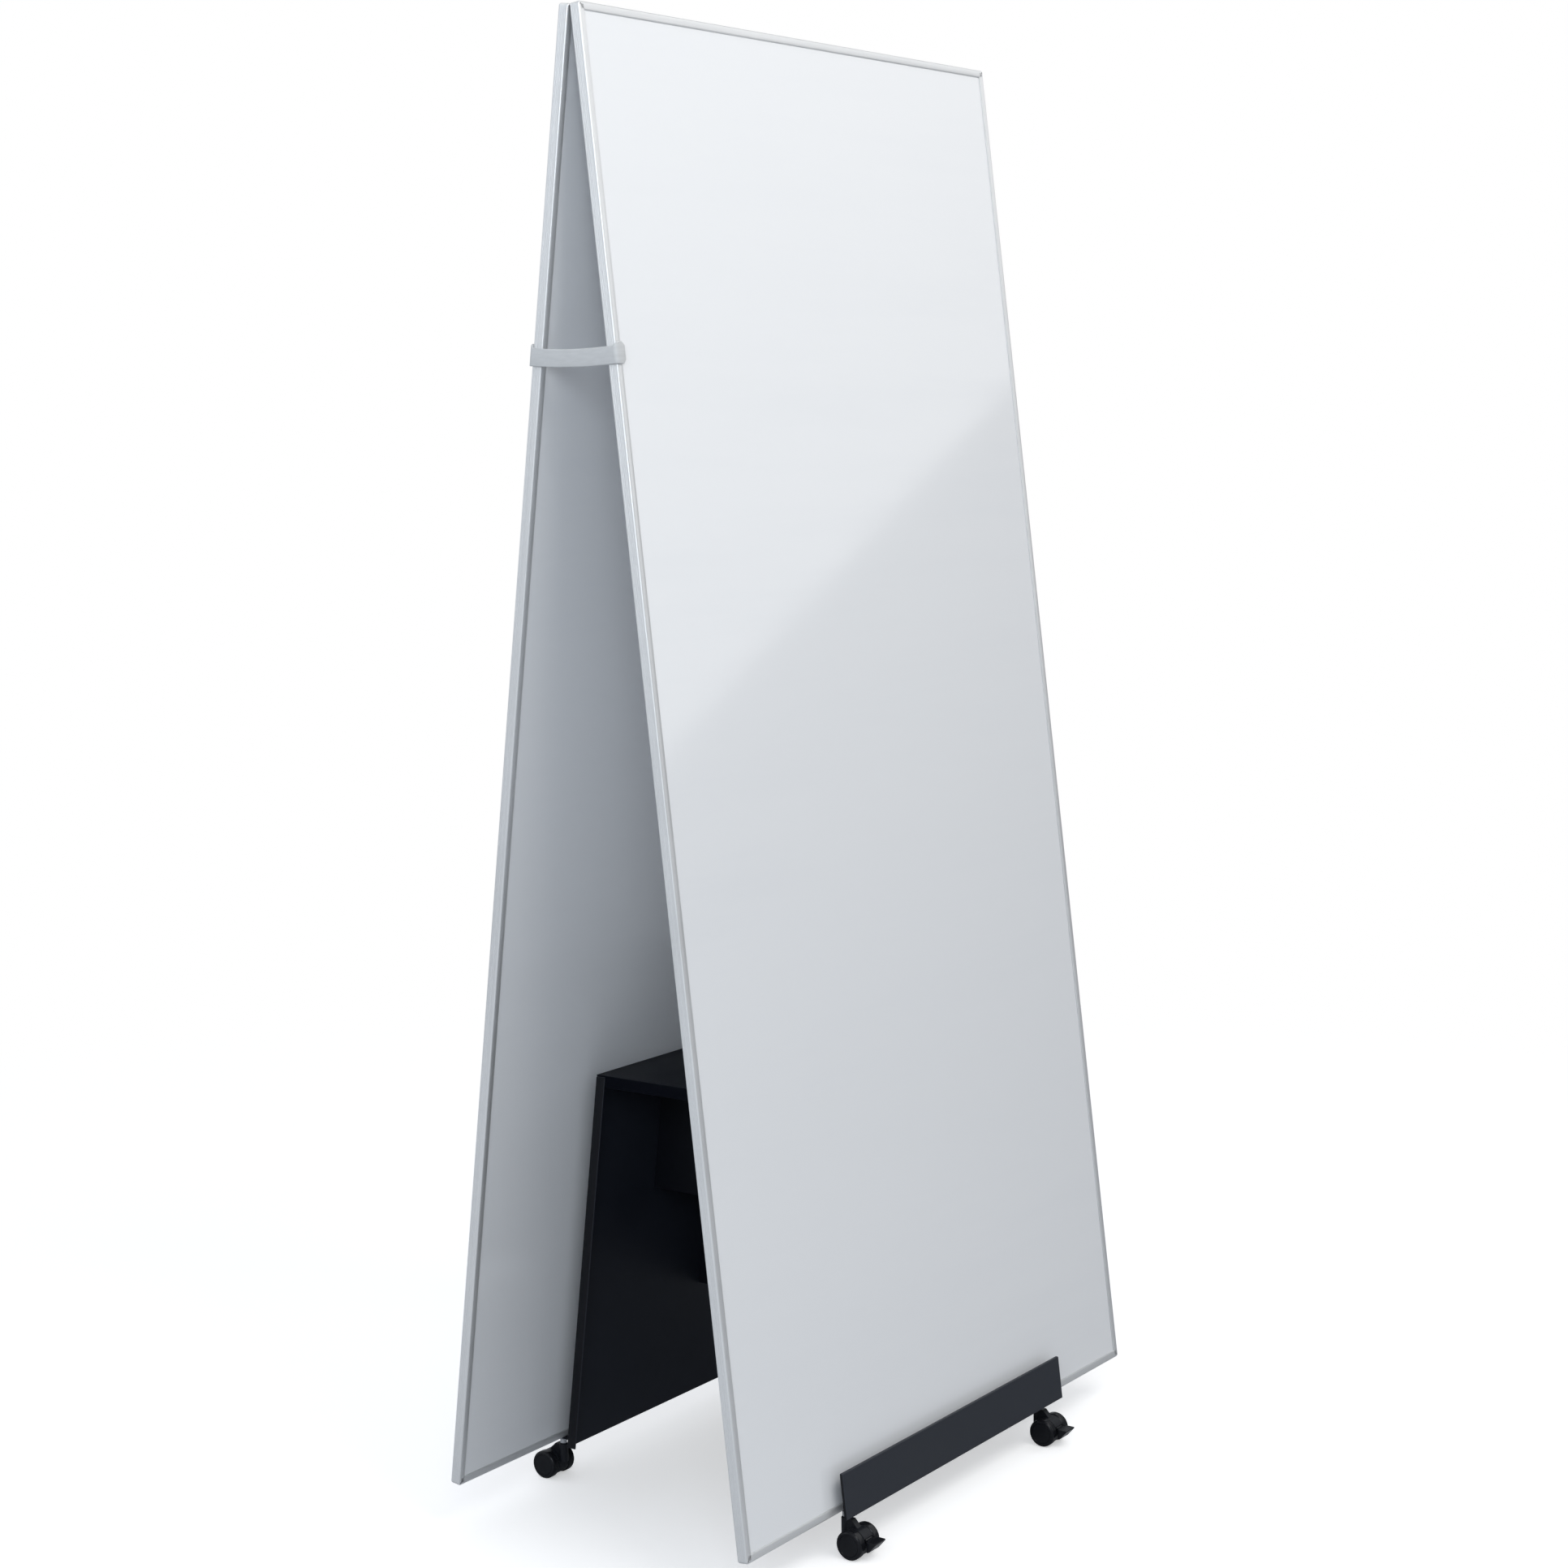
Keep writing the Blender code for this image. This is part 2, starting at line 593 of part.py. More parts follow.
def build():
    """Model the whole object."""
    clear_scene()
    materials = make_materials()
    for side in SIDES:
        add_board(side, materials)
        add_wall(side, materials)
        add_tray(side, materials)
        for end in ENDS:
            add_castor(side, end, materials)
    add_lid(materials)
    add_brace("left_brace", -BRACE_X - STEEL / 2, SIDE_BRACE_BOTTOM, materials)
    add_brace("centre_brace", -STEEL / 2, CENTRE_BRACE_BOTTOM, materials)
    add_brace("right_brace", BRACE_X - STEEL / 2, SIDE_BRACE_BOTTOM, materials)
    add_strap(materials)


build()
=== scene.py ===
"""Looks of the rolling A-frame whiteboard: detailed pieces, materials, studio light and camera.

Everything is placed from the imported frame: metres, +Z up, X along the boards' width, and the front board
on the -Y side. Lengths that come from no CAD node are the named constants below.
"""
import json
import math

import bmesh
import bpy
from mathutils import Matrix, Vector


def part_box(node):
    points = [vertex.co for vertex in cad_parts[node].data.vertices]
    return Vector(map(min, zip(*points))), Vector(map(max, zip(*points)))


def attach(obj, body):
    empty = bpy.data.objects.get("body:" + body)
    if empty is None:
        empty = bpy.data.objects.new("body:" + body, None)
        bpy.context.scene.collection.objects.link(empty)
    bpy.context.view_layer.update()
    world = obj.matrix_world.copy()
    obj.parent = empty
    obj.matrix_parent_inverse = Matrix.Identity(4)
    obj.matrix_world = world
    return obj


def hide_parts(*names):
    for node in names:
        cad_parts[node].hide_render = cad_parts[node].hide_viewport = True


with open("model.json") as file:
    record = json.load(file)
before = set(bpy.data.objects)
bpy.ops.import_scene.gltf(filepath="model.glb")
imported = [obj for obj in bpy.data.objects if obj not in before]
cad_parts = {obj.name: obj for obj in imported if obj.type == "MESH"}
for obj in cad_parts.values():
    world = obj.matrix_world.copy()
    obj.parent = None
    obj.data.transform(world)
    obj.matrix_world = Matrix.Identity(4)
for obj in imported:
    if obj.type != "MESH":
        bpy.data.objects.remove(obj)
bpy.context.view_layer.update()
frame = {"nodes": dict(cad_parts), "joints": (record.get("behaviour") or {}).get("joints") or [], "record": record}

SIDES = ("front", "rear")
ENDS = {"left": -1.0, "right": 1.0}

QUARTER_TURN = 0.5 * math.pi

# Frame profile, as distances inward from the outer edge and away from the middle plane
EDGE_ROUND = 0.0021               # rounding between a member's side and its faces
EDGE_STEPS = 6
CORNER_ROUND = 0.0036             # outer corner of the frame, seen from the front
CORNER_STEPS = 5
CHANNEL_BACK = 0.0016             # thickness of the channel's back wall
LIP_THICKNESS = 0.0014
MITRE_GAP = 0.0001
FLUTE_HALF_WIDTH = 0.0007
FLUTE_DEPTH = 0.00035
FLUTE_PLACES = (0.0012, 0.0034)   # from the middle plane
STEP_PLACE = 0.0092               # where the face steps down to the bead that holds the panel
STEP_DEPTH = 0.0006
STEP_POINTS = ((-0.0004, 0.0), (0.0, 0.0002), (0.0001, STEP_DEPTH))   # (inward from there, down)
BEAD_ROUND = 0.0004
BEAD_STEPS = 3
FRAME_SHARP_ANGLE = 28.0          # degrees; flatter edges are shaded smooth

# Clip
CLIP_GAP = 0.0003                 # between the clip and the frames of the boards
CLIP_ROUND = 0.0013
CLIP_ROUND_STEPS = 4
CLIP_HOOK_RADIUS = 0.0028
CLIP_HOOK_STEPS = 8
CLIP_LEG_STEPS = 5
CLIP_WEB_STEPS = 24
CLIP_SAG = 0.0025
CLIP_LEG_RISE = 0.0050            # how far a leg stands above the web
CLIP_TIP_CUT = 0.0040             # chamfer of a leg's free corners
CLIP_SHARP_ANGLE = 40.0

# Wheel, whose inner side faces the castor's housing
WHEEL_BORE = 0.0021               # radius of the axle's hole
WHEEL_BLIND = 0.0030              # from the end of that hole to the outer side
WHEEL_HUB = ((0.0, 0.0060), (0.0010, 0.0068))         # (in from the inner side, radius)
WHEEL_RIM = ((0.0010, 0.0050), (0.0, 0.0044), (0.0002, 0.0024), (0.0008, 0.0009),
             (0.0018, 0.00012), (0.0036, 0.0))        # (in from the inner side, down from the tread)
SHOULDER_RADIUS = 0.0030
SHOULDER_LEAD = 0.0008            # the tread's widest part ends this far before the shoulder
SHOULDER_ARC = (0.46 * math.pi, 0.02 * math.pi)
SHOULDER_STEPS = 8
WHEEL_FACE_SINK = 0.0002          # the outer face's edge lies this much lower than its middle
WHEEL_FACE = ((0.0002, 0.0136), (0.0007, 0.0133), (0.0003, 0.0130), (0.0001, 0.0100),
              (0.0, 0.0040), (0.0, 0.0))              # (in from the outer side, radius)
WHEEL_STEPS = 64

# Stem
PIN_RADIUS = 0.0030
PIN_CHAMFER = 0.0006
COLLAR_GAP = 0.0003               # between the housing's crown and the collar
COLLAR_CHAMFER = (0.0006, 0.0008)                     # (along, in)
COLLAR_POINTS = ((0.0022, 0.0), (0.0018, 0.0008), (0.0012, 0.0008), (0.0010, 0.0), (0.0004, 0.0),
                 (0.0, 0.0004))                       # (down from the top, in from the radius)
STEM_STEPS = 48

# Rounded edges of folded sheets and moulded parts
SHEET_BEVEL = 0.0009
BRACE_BEVEL = 0.0006
HOUSING_BEVEL = 0.0008
PEDAL_BEVEL = 0.0005
BEVEL_SEGMENTS = 3
BEVEL_ANGLE = 30.0                # degrees; flatter edges stay as they are
FLAT_ANGLE = 0.6                  # degrees; faces that meet flatter than this are joined

LATHE_SHARP_ANGLE = 32.0
MERGE_DISTANCE = 1e-6

# Sockets of a Mix node that is set to RGBA
MIX_FIRST, MIX_SECOND, MIX_RESULT = 6, 7, 2
WHITE = (1.0, 1.0, 1.0, 1.0)


# ---- Shader helpers -----------------------------------------------------------------------------

class Nodes:
    """A node tree whose nodes are added and wired by short calls."""

    def __init__(self, tree):
        self.tree = tree

    def node(self, kind, **inputs):
        """A new node with some of its inputs set, or linked when the value is a socket."""
        made = self.tree.nodes.new(kind)
        for name, value in inputs.items():
            self.plug(value, made.inputs[name.replace("_", " ")])
        return made

    def plug(self, value, socket):
        """Link a socket to an input, or set the input's constant."""
        if isinstance(value, bpy.types.NodeSocket):
            self.tree.links.new(value, socket)
        else:
            socket.default_value = value

    def place(self, scale=(1.0, 1.0, 1.0), source="Object"):
        """Texture coordinates, stretched."""
        coordinates = self.node("ShaderNodeTexCoord")
        mapping = self.node("ShaderNodeMapping", Vector=coordinates.outputs[source], Scale=scale)
        return mapping.outputs["Vector"]

    def noise(self, where, scale, detail=3.0, roughness=0.5):
        """Noise between 0 and 1."""
        made = self.node("ShaderNodeTexNoise", Vector=where, Scale=scale, Detail=detail,
                         Roughness=roughness)
        return made.outputs["Fac"]

    def spread(self, value, low=0.0, high=1.0, start=0.35, end=0.65):
        """A value moved from start..end to low..high."""
        made = self.node("ShaderNodeMapRange", Value=value)
        limits = {"From Min": start, "From Max": end, "To Min": low, "To Max": high}
        for name, number in limits.items():
            made.inputs[name].default_value = number
        return made.outputs["Result"]

    def times(self, first, second):
        """Product of two values."""
        made = self.node("ShaderNodeMath")
        made.operation = "MULTIPLY"
        self.plug(first, made.inputs[0])
        self.plug(second, made.inputs[1])
        return made.outputs["Value"]

    def along(self, where, axis):
        """How far a place lies along an axis."""
        made = self.node("ShaderNodeVectorMath", Vector=where)
        made.operation = "DOT_PRODUCT"
        made.inputs[1].default_value = axis
        return made.outputs["Value"]

    def tint(self, amount, first, second):
        """A colour between two others."""
        made = self.node("ShaderNodeMix")
        made.data_type = "RGBA"
        self.plug(amount, made.inputs["Factor"])
        for place, colour in ((MIX_FIRST, first), (MIX_SECOND, second)):
            self.plug((*colour, 1.0) if isinstance(colour, tuple) else colour, made.inputs[place])
        return made.outputs[MIX_RESULT]

    def for_camera(self, others, seen):
        """A shader that the camera sees, in place of the one that all other rays meet."""
        rays = self.node("ShaderNodeLightPath")
        mix = self.node("ShaderNodeMixShader", Fac=rays.outputs["Is Camera Ray"])
        self.plug(others, mix.inputs[1])
        self.plug(seen, mix.inputs[2])
        return mix.outputs["Shader"]


class Shader(Nodes):
    """A material with a Principled shader."""

    def __init__(self, name):
        self.material = bpy.data.materials.new(name)
        self.material.use_nodes = True
        super().__init__(self.material.node_tree)
        self.bsdf = self.tree.nodes["Principled BSDF"]
        self.bump = None

    def set(self, socket, value):
        """A constant or a link on the Principled shader."""
        self.plug(value, self.bsdf.inputs[socket])

    def wear(self, width):
        """How sharp and exposed an edge is, from 0 on flats to 1 on edges."""
        geometry = self.node("ShaderNodeNewGeometry")
        return self.spread(geometry.outputs["Pointiness"], start=0.5, end=0.5 + width)

    def painted_end_shade(self):
        """1 on the faces that point along the object's length, 0 on the others; the mask of the painted shade on
        those faces.
        """
        coordinates = self.node("ShaderNodeTexCoord")
        parts = self.node("ShaderNodeSeparateXYZ", Vector=coordinates.outputs["Normal"])
        size = self.node("ShaderNodeMath")
        size.operation = "ABSOLUTE"
        self.plug(parts.outputs["X"], size.inputs[0])
        return self.spread(size.outputs["Value"], start=0.75, end=0.95)

    def raise_by(self, height, distance, strength):
        """Add a layer of bump."""
        made = self.node("ShaderNodeBump", Height=height, Distance=distance, Strength=strength)
        if self.bump is not None:
            self.plug(self.bump, made.inputs["Normal"])
        self.bump = made.outputs["Normal"]
        self.set("Normal", self.bump)


# ---- Materials ----------------------------------------------------------------------------------

def enamel():
    """Gloss white enamelled steel: orange peel, a slow ripple and faint marks from wiping."""
    made = Shader("writing_enamel")
    made.set("IOR", 1.60)
    plain = made.place()
    strokes = made.noise(made.place((0.5, 1.0, 6.0)), 3.2, 4.0, 0.6)
    cloud = made.noise(plain, 1.7, 2.0)
    grime = made.times(made.spread(strokes, start=0.45, end=0.75), made.spread(cloud, 0.2, 1.0))
    made.set("Base Color", made.tint(grime, (0.818, 0.828, 0.848), (0.800, 0.812, 0.835)))
    made.set("Roughness", made.spread(grime, 0.07, 0.12, 0.0, 1.0))
    made.raise_by(made.noise(plain, 2.6, 1.0), 0.0030, 0.10)
    made.raise_by(made.noise(plain, 420.0, 2.0), 0.00004, 0.20)
    return made.material


def aluminium():
    """Satin anodised extrusion: die lines run along each member."""
    made = Shader("satin_aluminium")
    made.set("Metallic", 0.62)
    lines = made.noise(made.place((2.0, 2600.0, 1.0), "UV"), 1.0, 4.0, 0.65)
    cloud = made.noise(made.place(), 9.0, 3.0)
    made.set("Base Color", made.tint(made.spread(lines), (0.69, 0.697, 0.705), (0.80, 0.807, 0.815)))
    made.set("Roughness", made.spread(cloud, 0.38, 0.46))
    made.raise_by(lines, 0.00002, 0.5)
    return made.material


def powder_coat(name, shine, painted_shade_tone):
    """Anthracite powder coat with a fine texture, with painted shade that darkens the faces towards the ends."""
    made = Shader(name)

    def shade(*colour):
        """A colour of the coat, multiplied by its painted shade tone; a tone below 1 paints shade over the whole
        coat, as on the lid.
        """
        return tuple(painted_shade_tone * part for part in colour)

    grain = made.noise(made.place(), 1400.0, 3.0, 0.6)
    ripple = made.noise(made.place(), 240.0, 2.0)
    cloud = made.noise(made.place(), 7.0, 3.0)
    base = made.tint(made.spread(cloud), shade(0.0115, 0.0138, 0.0205), shade(0.0150, 0.0178, 0.0260))
    flecks = made.spread(grain, 0.0, 0.30, 0.5, 0.75)
    flecked = made.tint(flecks, base, shade(0.033, 0.037, 0.047))
    worn = made.tint(made.wear(0.10), flecked, shade(0.030, 0.034, 0.043))
    # painted shade: the faces that point towards the ends are tinted near black
    made.set("Base Color", made.tint(made.painted_end_shade(), worn, (0.0030, 0.0036, 0.0062)))
    made.set("Specular IOR Level", shine)
    made.set("Roughness", made.spread(cloud, 0.38, 0.48))
    made.raise_by(ripple, 0.00010, 0.25)
    made.raise_by(grain, 0.00006, 0.45)
    return made.material


def black_nylon(name, colour, roughness):
    """Moulded black nylon: spark-eroded grain, scuffed and dusty where it is exposed."""
    made = Shader(name)
    made.set("Specular IOR Level", 0.20)
    grain = made.noise(made.place(), 1900.0, 2.0)
    scuff = made.noise(made.place((1.0, 1.0, 3.0)), 130.0, 5.0, 0.7)
    dust = made.spread(scuff, 0.0, 0.4, 0.52, 0.75)
    dusty = tuple(1.6 * part + 0.002 for part in colour)
    rubbed = tuple(1.6 * part + 0.005 for part in colour)
    made.set("Base Color", made.tint(made.wear(0.12), made.tint(dust, colour, dusty), rubbed))
    made.set("Roughness", made.spread(scuff, roughness - 0.05, roughness + 0.12))
    made.raise_by(grain, 0.00004, 0.35)
    return made.material


def clip_plastic():
    """Light grey moulded clip with a faint satin grain."""
    made = Shader("clip_plastic")
    grain = made.noise(made.place(), 1500.0, 2.0)
    flow = made.noise(made.place((4.0, 12.0, 60.0)), 5.0, 3.0)
    made.set("Base Color", made.tint(made.spread(flow), (0.52, 0.53, 0.54), (0.56, 0.57, 0.58)))
    made.set("Roughness", made.spread(flow, 0.32, 0.42))
    made.set("Subsurface Weight", 0.05)
    made.set("Subsurface Radius", (0.002, 0.002, 0.002))
    made.raise_by(grain, 0.00004, 0.35)
    return made.material


def zinc():
    """Zinc-plated steel with faint crystals and turning marks."""
    made = Shader("zinc_steel")
    made.set("Metallic", 1.0)
    spangle = made.node("ShaderNodeTexVoronoi", Vector=made.place(), Scale=420.0).outputs["Color"]
    rings = made.noise(made.place((1.0, 1.0, 40.0)), 60.0, 3.0)
    crystals = made.spread(spangle, start=0.0, end=1.0)
    made.set("Base Color", made.tint(crystals, (0.50, 0.51, 0.53), (0.62, 0.63, 0.65)))
    made.set("Roughness", made.spread(rings, 0.24, 0.40))
    made.raise_by(rings, 0.00003, 0.4)
    return made.material


def fibreboard():
    """Raw fibreboard of the panel's core."""
    made = Shader("panel_core")
    fibres = made.noise(made.place((30.0, 200.0, 30.0)), 9.0, 6.0, 0.7)
    made.set("Base Color", made.tint(made.spread(fibres), (0.40, 0.31, 0.21), (0.60, 0.50, 0.37)))
    made.set("Roughness", made.spread(fibres, 0.8, 0.95))
    made.raise_by(fibres, 0.0003, 0.5)
    return made.material


def floor_paint():
    """Pale studio floor that fades into the white background and throws little light upwards."""
    made = Shader("studio_floor")
    made.set("Base Color", (0.80, 0.80, 0.81, 1.0))
    made.set("Roughness", made.spread(made.noise(made.place(), 60.0, 4.0), 0.55, 0.65))
    made.set("Emission Color", WHITE)
    made.set("Emission Strength", FLOOR_GLOW)
    distance = made.node("ShaderNodeVectorMath", Vector=made.place())
    distance.operation = "LENGTH"
    fade = made.spread(distance.outputs["Value"], start=FLOOR_FADE_START, end=FLOOR_FADE_END)
    glow = made.node("ShaderNodeEmission", Color=WHITE, Strength=1.0)
    seen = made.node("ShaderNodeMixShader", Fac=fade)
    made.plug(made.bsdf.outputs["BSDF"], seen.inputs[1])
    made.plug(glow.outputs["Emission"], seen.inputs[2])
    side = made.spread(made.along(made.place(), FLOOR_AXIS), start=-1.0, end=1.0)
    dull = made.node("ShaderNodeBsdfDiffuse", Color=made.tint(side, FLOOR_DULL, FLOOR_PALE))
    shown = made.for_camera(dull.outputs["BSDF"], seen.outputs["Shader"])
    made.plug(shown, made.tree.nodes["Material Output"].inputs["Surface"])
    return made.material


# ---- Mesh helpers -------------------------------------------------------------------------------

def make_piece(name, mesh, body, slot, nodes, finish_or_shaded_copy=None):
    """A visible piece that rides on a body and stands for CAD nodes."""
    piece = bpy.data.objects.new(name, mesh)
    bpy.context.collection.objects.link(piece)
    mesh.materials.clear()
    # a material given in place of the slot's: the castor hood's own finish for the housings, and for the lid a
    # darker copy of the coat as painted shade
    mesh.materials.append(MATERIALS[finish_or_shaded_copy or slot])
    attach(piece, body)
    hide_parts(*nodes)
    return piece


def close_mesh(name, bm, sharp_angle):
    """A mesh with its faces pointing out, shaded smooth across edges flatter than the angle."""
    bmesh.ops.recalc_face_normals(bm, faces=bm.faces)
    mesh = bpy.data.meshes.new(name)
    bm.to_mesh(mesh)
    bm.free()
    mesh.shade_smooth()
    mesh.set_sharp_from_angle(angle=math.radians(sharp_angle))
    return mesh


def loft(name, rings, sharp_angle):
    """A closed body through rings of equally many points, with UVs in metres: along, around."""
    bm = bmesh.new()
    layer = bm.loops.layers.uv.new("UVMap")
    made = [[bm.verts.new(point) for point in ring] for ring in rings]
    along = [0.0]
    for low, high in zip(rings, rings[1:]):
        along.append(along[-1] + (Vector(high[0]) - Vector(low[0])).length)
    around = [0.0]
    middle = rings[len(rings) // 2]
    for i, point in enumerate(middle):
        following = middle[(i + 1) % len(middle)]
        around.append(around[-1] + (Vector(following) - Vector(point)).length)
    for r in range(len(rings) - 1):
        count = len(rings[r])
        for i in range(count):
            j = (i + 1) % count
            face = bm.faces.new((made[r][i], made[r][j], made[r + 1][j], made[r + 1][i]))
            corners = ((r, i), (r, i + 1), (r + 1, i + 1), (r + 1, i))
            for loop, (ring, step) in zip(face.loops, corners):
                loop[layer].uv = (along[ring], around[step])
    bm.faces.new(list(reversed(made[0])))
    bm.faces.new(made[-1])
    return close_mesh(name, bm, sharp_angle)


def lathe(name, profile, place, steps):
    """A body turned from (along, radius) points that start and end on the axis."""
    bm = bmesh.new()
    rings = []
    for along, radius in profile:
        if radius == 0.0:
            rings.append([bm.verts.new(place(along, 0.0, 0.0))])
            continue
        angles = [2.0 * math.pi * i / steps for i in range(steps)]
        rings.append([bm.verts.new(place(along, radius * math.cos(a), radius * math.sin(a)))
                      for a in angles])
    for first, second in zip(rings, rings[1:]):
        for i in range(steps):
            j = (i + 1) % steps
            corners = [first[i % len(first)], first[j % len(first)],
                       second[j % len(second)], second[i % len(second)]]
            bm.faces.new(list(dict.fromkeys(corners)))
    return close_mesh(name, bm, LATHE_SHARP_ANGLE)


def arc(centre, radius, start, end, steps):
    """Points of an arc, angles in radians, both ends included."""
    angles = [start + (end - start) * i / steps for i in range(steps + 1)]
    return [(centre[0] + radius * math.cos(a), centre[1] + radius * math.sin(a)) for a in angles]


def bevelled_copy(node, slot, width, finish_or_shaded_copy=None):
    """A CAD node's shape with its sharp edges rounded."""
    bm = bmesh.new()
    bm.from_mesh(frame["nodes"][node].data)
    bmesh.ops.remove_doubles(bm, verts=bm.verts, dist=MERGE_DISTANCE)
    bmesh.ops.dissolve_limit(bm, angle_limit=math.radians(FLAT_ANGLE), verts=bm.verts,
                             edges=bm.edges)
    mesh = close_mesh(node + "_detail", bm, BEVEL_ANGLE)
    body = next(name for name, nodes in BODIES.items() if node in nodes)
    piece = make_piece(node + "_detail", mesh, body, slot, [node], finish_or_shaded_copy)
    bevel = piece.modifiers.new("bevel", "BEVEL")
    bevel.width = width
    bevel.segments = BEVEL_SEGMENTS
    bevel.limit_method = "ANGLE"
    bevel.angle_limit = math.radians(BEVEL_ANGLE)
    bevel.use_clamp_overlap = True
    piece.modifiers.new("normals", "WEIGHTED_NORMAL")
    return piece


# ---- Board frames -------------------------------------------------------------------------------

class Board:
    """Axes and extents of one board, read from its CAD nodes."""

    def __init__(self, side):
        self.body = f"{side}_board"
        joint = next(j for j in frame["joints"] if j["child"] == self.body)
        self.up = Vector(joint["axis"])
        if self.up.z < 0.0:
            self.up = -self.up
        self.out = Vector((0.0, -self.up.z, self.up.y))
        if side == "rear":
            self.out = -self.out
        points = [v.co for n in BODIES[self.body] for v in frame["nodes"][n].data.vertices]
        self.width = self.span(points, Vector((1.0, 0.0, 0.0)))
        self.height = self.span(points, self.up)
        self.depth = self.span(points, self.out)
        self.half_depth = (self.depth[1] - self.depth[0]) / 2
        self.middle = (self.depth[1] + self.depth[0]) / 2
        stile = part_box(f"{self.body}_left_stile")
        self.face_width = stile[1].x - stile[0].x

    @staticmethod
    def span(points, axis):
        """Lowest and highest position along an axis."""
        places = [point.dot(axis) for point in points]
        return min(places), max(places)

    def at(self, x, height, depth):
        """A world point from x, height up the board and depth out from its middle plane."""
        risen = self.up * (self.height[0] + height)
        return Vector((x, 0.0, 0.0)) + risen + self.out * (self.middle + depth)

    def tall(self):
        """The board's height along its face."""
        return self.height[1] - self.height[0]

    def outer_y(self, z, clearance):
        """Distance from Y = 0 to the outer face at height z, with a gap to spare."""
        return abs((self.depth[1] + clearance - self.out.z * z) / self.out.y)


def half_profile(board):
    """Outer wall's middle to the lip's inside, as (inward, depth) for one half of the channel."""
    deep = board.half_depth
    wide = board.face_width
    points = [(0.0, 0.0)]
    for place in FLUTE_PLACES:
        points += [(0.0, place - FLUTE_HALF_WIDTH), (FLUTE_DEPTH, place - FLUTE_HALF_WIDTH / 2),
                   (FLUTE_DEPTH, place + FLUTE_HALF_WIDTH / 2), (0.0, place + FLUTE_HALF_WIDTH)]
    points += [(EDGE_ROUND - u, d) for u, d in
               arc((0.0, deep - EDGE_ROUND), EDGE_ROUND, 0.0, QUARTER_TURN, EDGE_STEPS)]
    points += [(STEP_PLACE + inward, deep - down) for inward, down in STEP_POINTS]
    centre = (wide - BEAD_ROUND, deep - STEP_DEPTH - BEAD_ROUND)
    points += arc(centre, BEAD_ROUND, QUARTER_TURN, 0.0, BEAD_STEPS)
    points += [(wide, deep - LIP_THICKNESS), (CHANNEL_BACK, deep - LIP_THICKNESS)]
    return points


def corner_point(step, inward):
    """How far along a point of the frame's rounded corner lies, and how far inward."""
    radius = CORNER_ROUND - inward
    if radius > 0.0:
        turn = 0.5 * QUARTER_TURN * step / CORNER_STEPS
        return CORNER_ROUND - radius * math.sin(turn), CORNER_ROUND - radius * math.cos(turn)
    return CORNER_ROUND - radius * step / CORNER_STEPS, inward


def frame_member(board, member, length, place):
    """One mitred member, with its outer corners rounded where it meets the next."""
    half = half_profile(board)
    section = half + [(u, -d) for u, d in reversed(half[1:])]

    def ring(step, far):
        """The section's points at one step of the rounding, at the near or the far end."""
        points = []
        for inward, depth in section:
            along, deep = corner_point(step, inward)
            along += MITRE_GAP
            points.append(place(length - along if far else along, deep, depth))
        return points

    steps = range(CORNER_STEPS + 1)
    rings = [ring(step, False) for step in reversed(steps)] + [ring(step, True) for step in steps]
    node = f"{board.body}_{member}"
    mesh = loft(node + "_detail", rings, FRAME_SHARP_ANGLE)
    return make_piece(node + "_detail", mesh, board.body, "satin_aluminium", [node])


def build_frame(board):
    """The four members round one board."""
    left, right = board.width
    tall = board.tall()
    wide = right - left
    frame_member(board, "bottom_rail", wide, lambda a, u, d: board.at(left + a, u, d))
    frame_member(board, "top_rail", wide, lambda a, u, d: board.at(left + a, tall - u, d))
    frame_member(board, "left_stile", tall, lambda a, u, d: board.at(left + u, a, d))
    frame_member(board, "right_stile", tall, lambda a, u, d: board.at(right - u, a, d))


# ---- Clip ---------------------------------------------------------------------------------------

def clip_path(tip_x, web_inner, inner_y, thick):
    """Plan path of the clip's middle line: (x, y, normal x, normal y), x outward from the board."""
    mid = thick / 2
    bend = CLIP_HOOK_RADIUS
    corner = (web_inner - bend, inner_y - bend)
    leg = [(tip_x + (corner[0] - tip_x) * i / CLIP_LEG_STEPS, inner_y + mid, 0.0, 1.0)
           for i in range(CLIP_LEG_STEPS)]
    hook = [(x, y, (x - corner[0]) / (bend + mid), (y - corner[1]) / (bend + mid))
            for x, y in arc(corner, bend + mid, QUARTER_TURN, 0.0, CLIP_HOOK_STEPS)]
    web = [(web_inner + mid, corner[1] * (1.0 - 2.0 * i / CLIP_WEB_STEPS), 1.0, 0.0)
           for i in range(1, CLIP_WEB_STEPS)]
    return leg + hook + web + [(x, -y, nx, -ny) for x, y, nx, ny in reversed(leg + hook)]


def clip_section(thick, low, high):
    """Rounded section of the clip as (across, level)."""
    half = thick / 2 - CLIP_ROUND
    corners = ((half, high - CLIP_ROUND), (-half, high - CLIP_ROUND),
               (-half, low + CLIP_ROUND), (half, low + CLIP_ROUND))
    section = []
    for quarter, centre in enumerate(corners):
        section += arc(centre, CLIP_ROUND, quarter * QUARTER_TURN, (quarter + 1) * QUARTER_TURN,
                       CLIP_ROUND_STEPS)
    return section


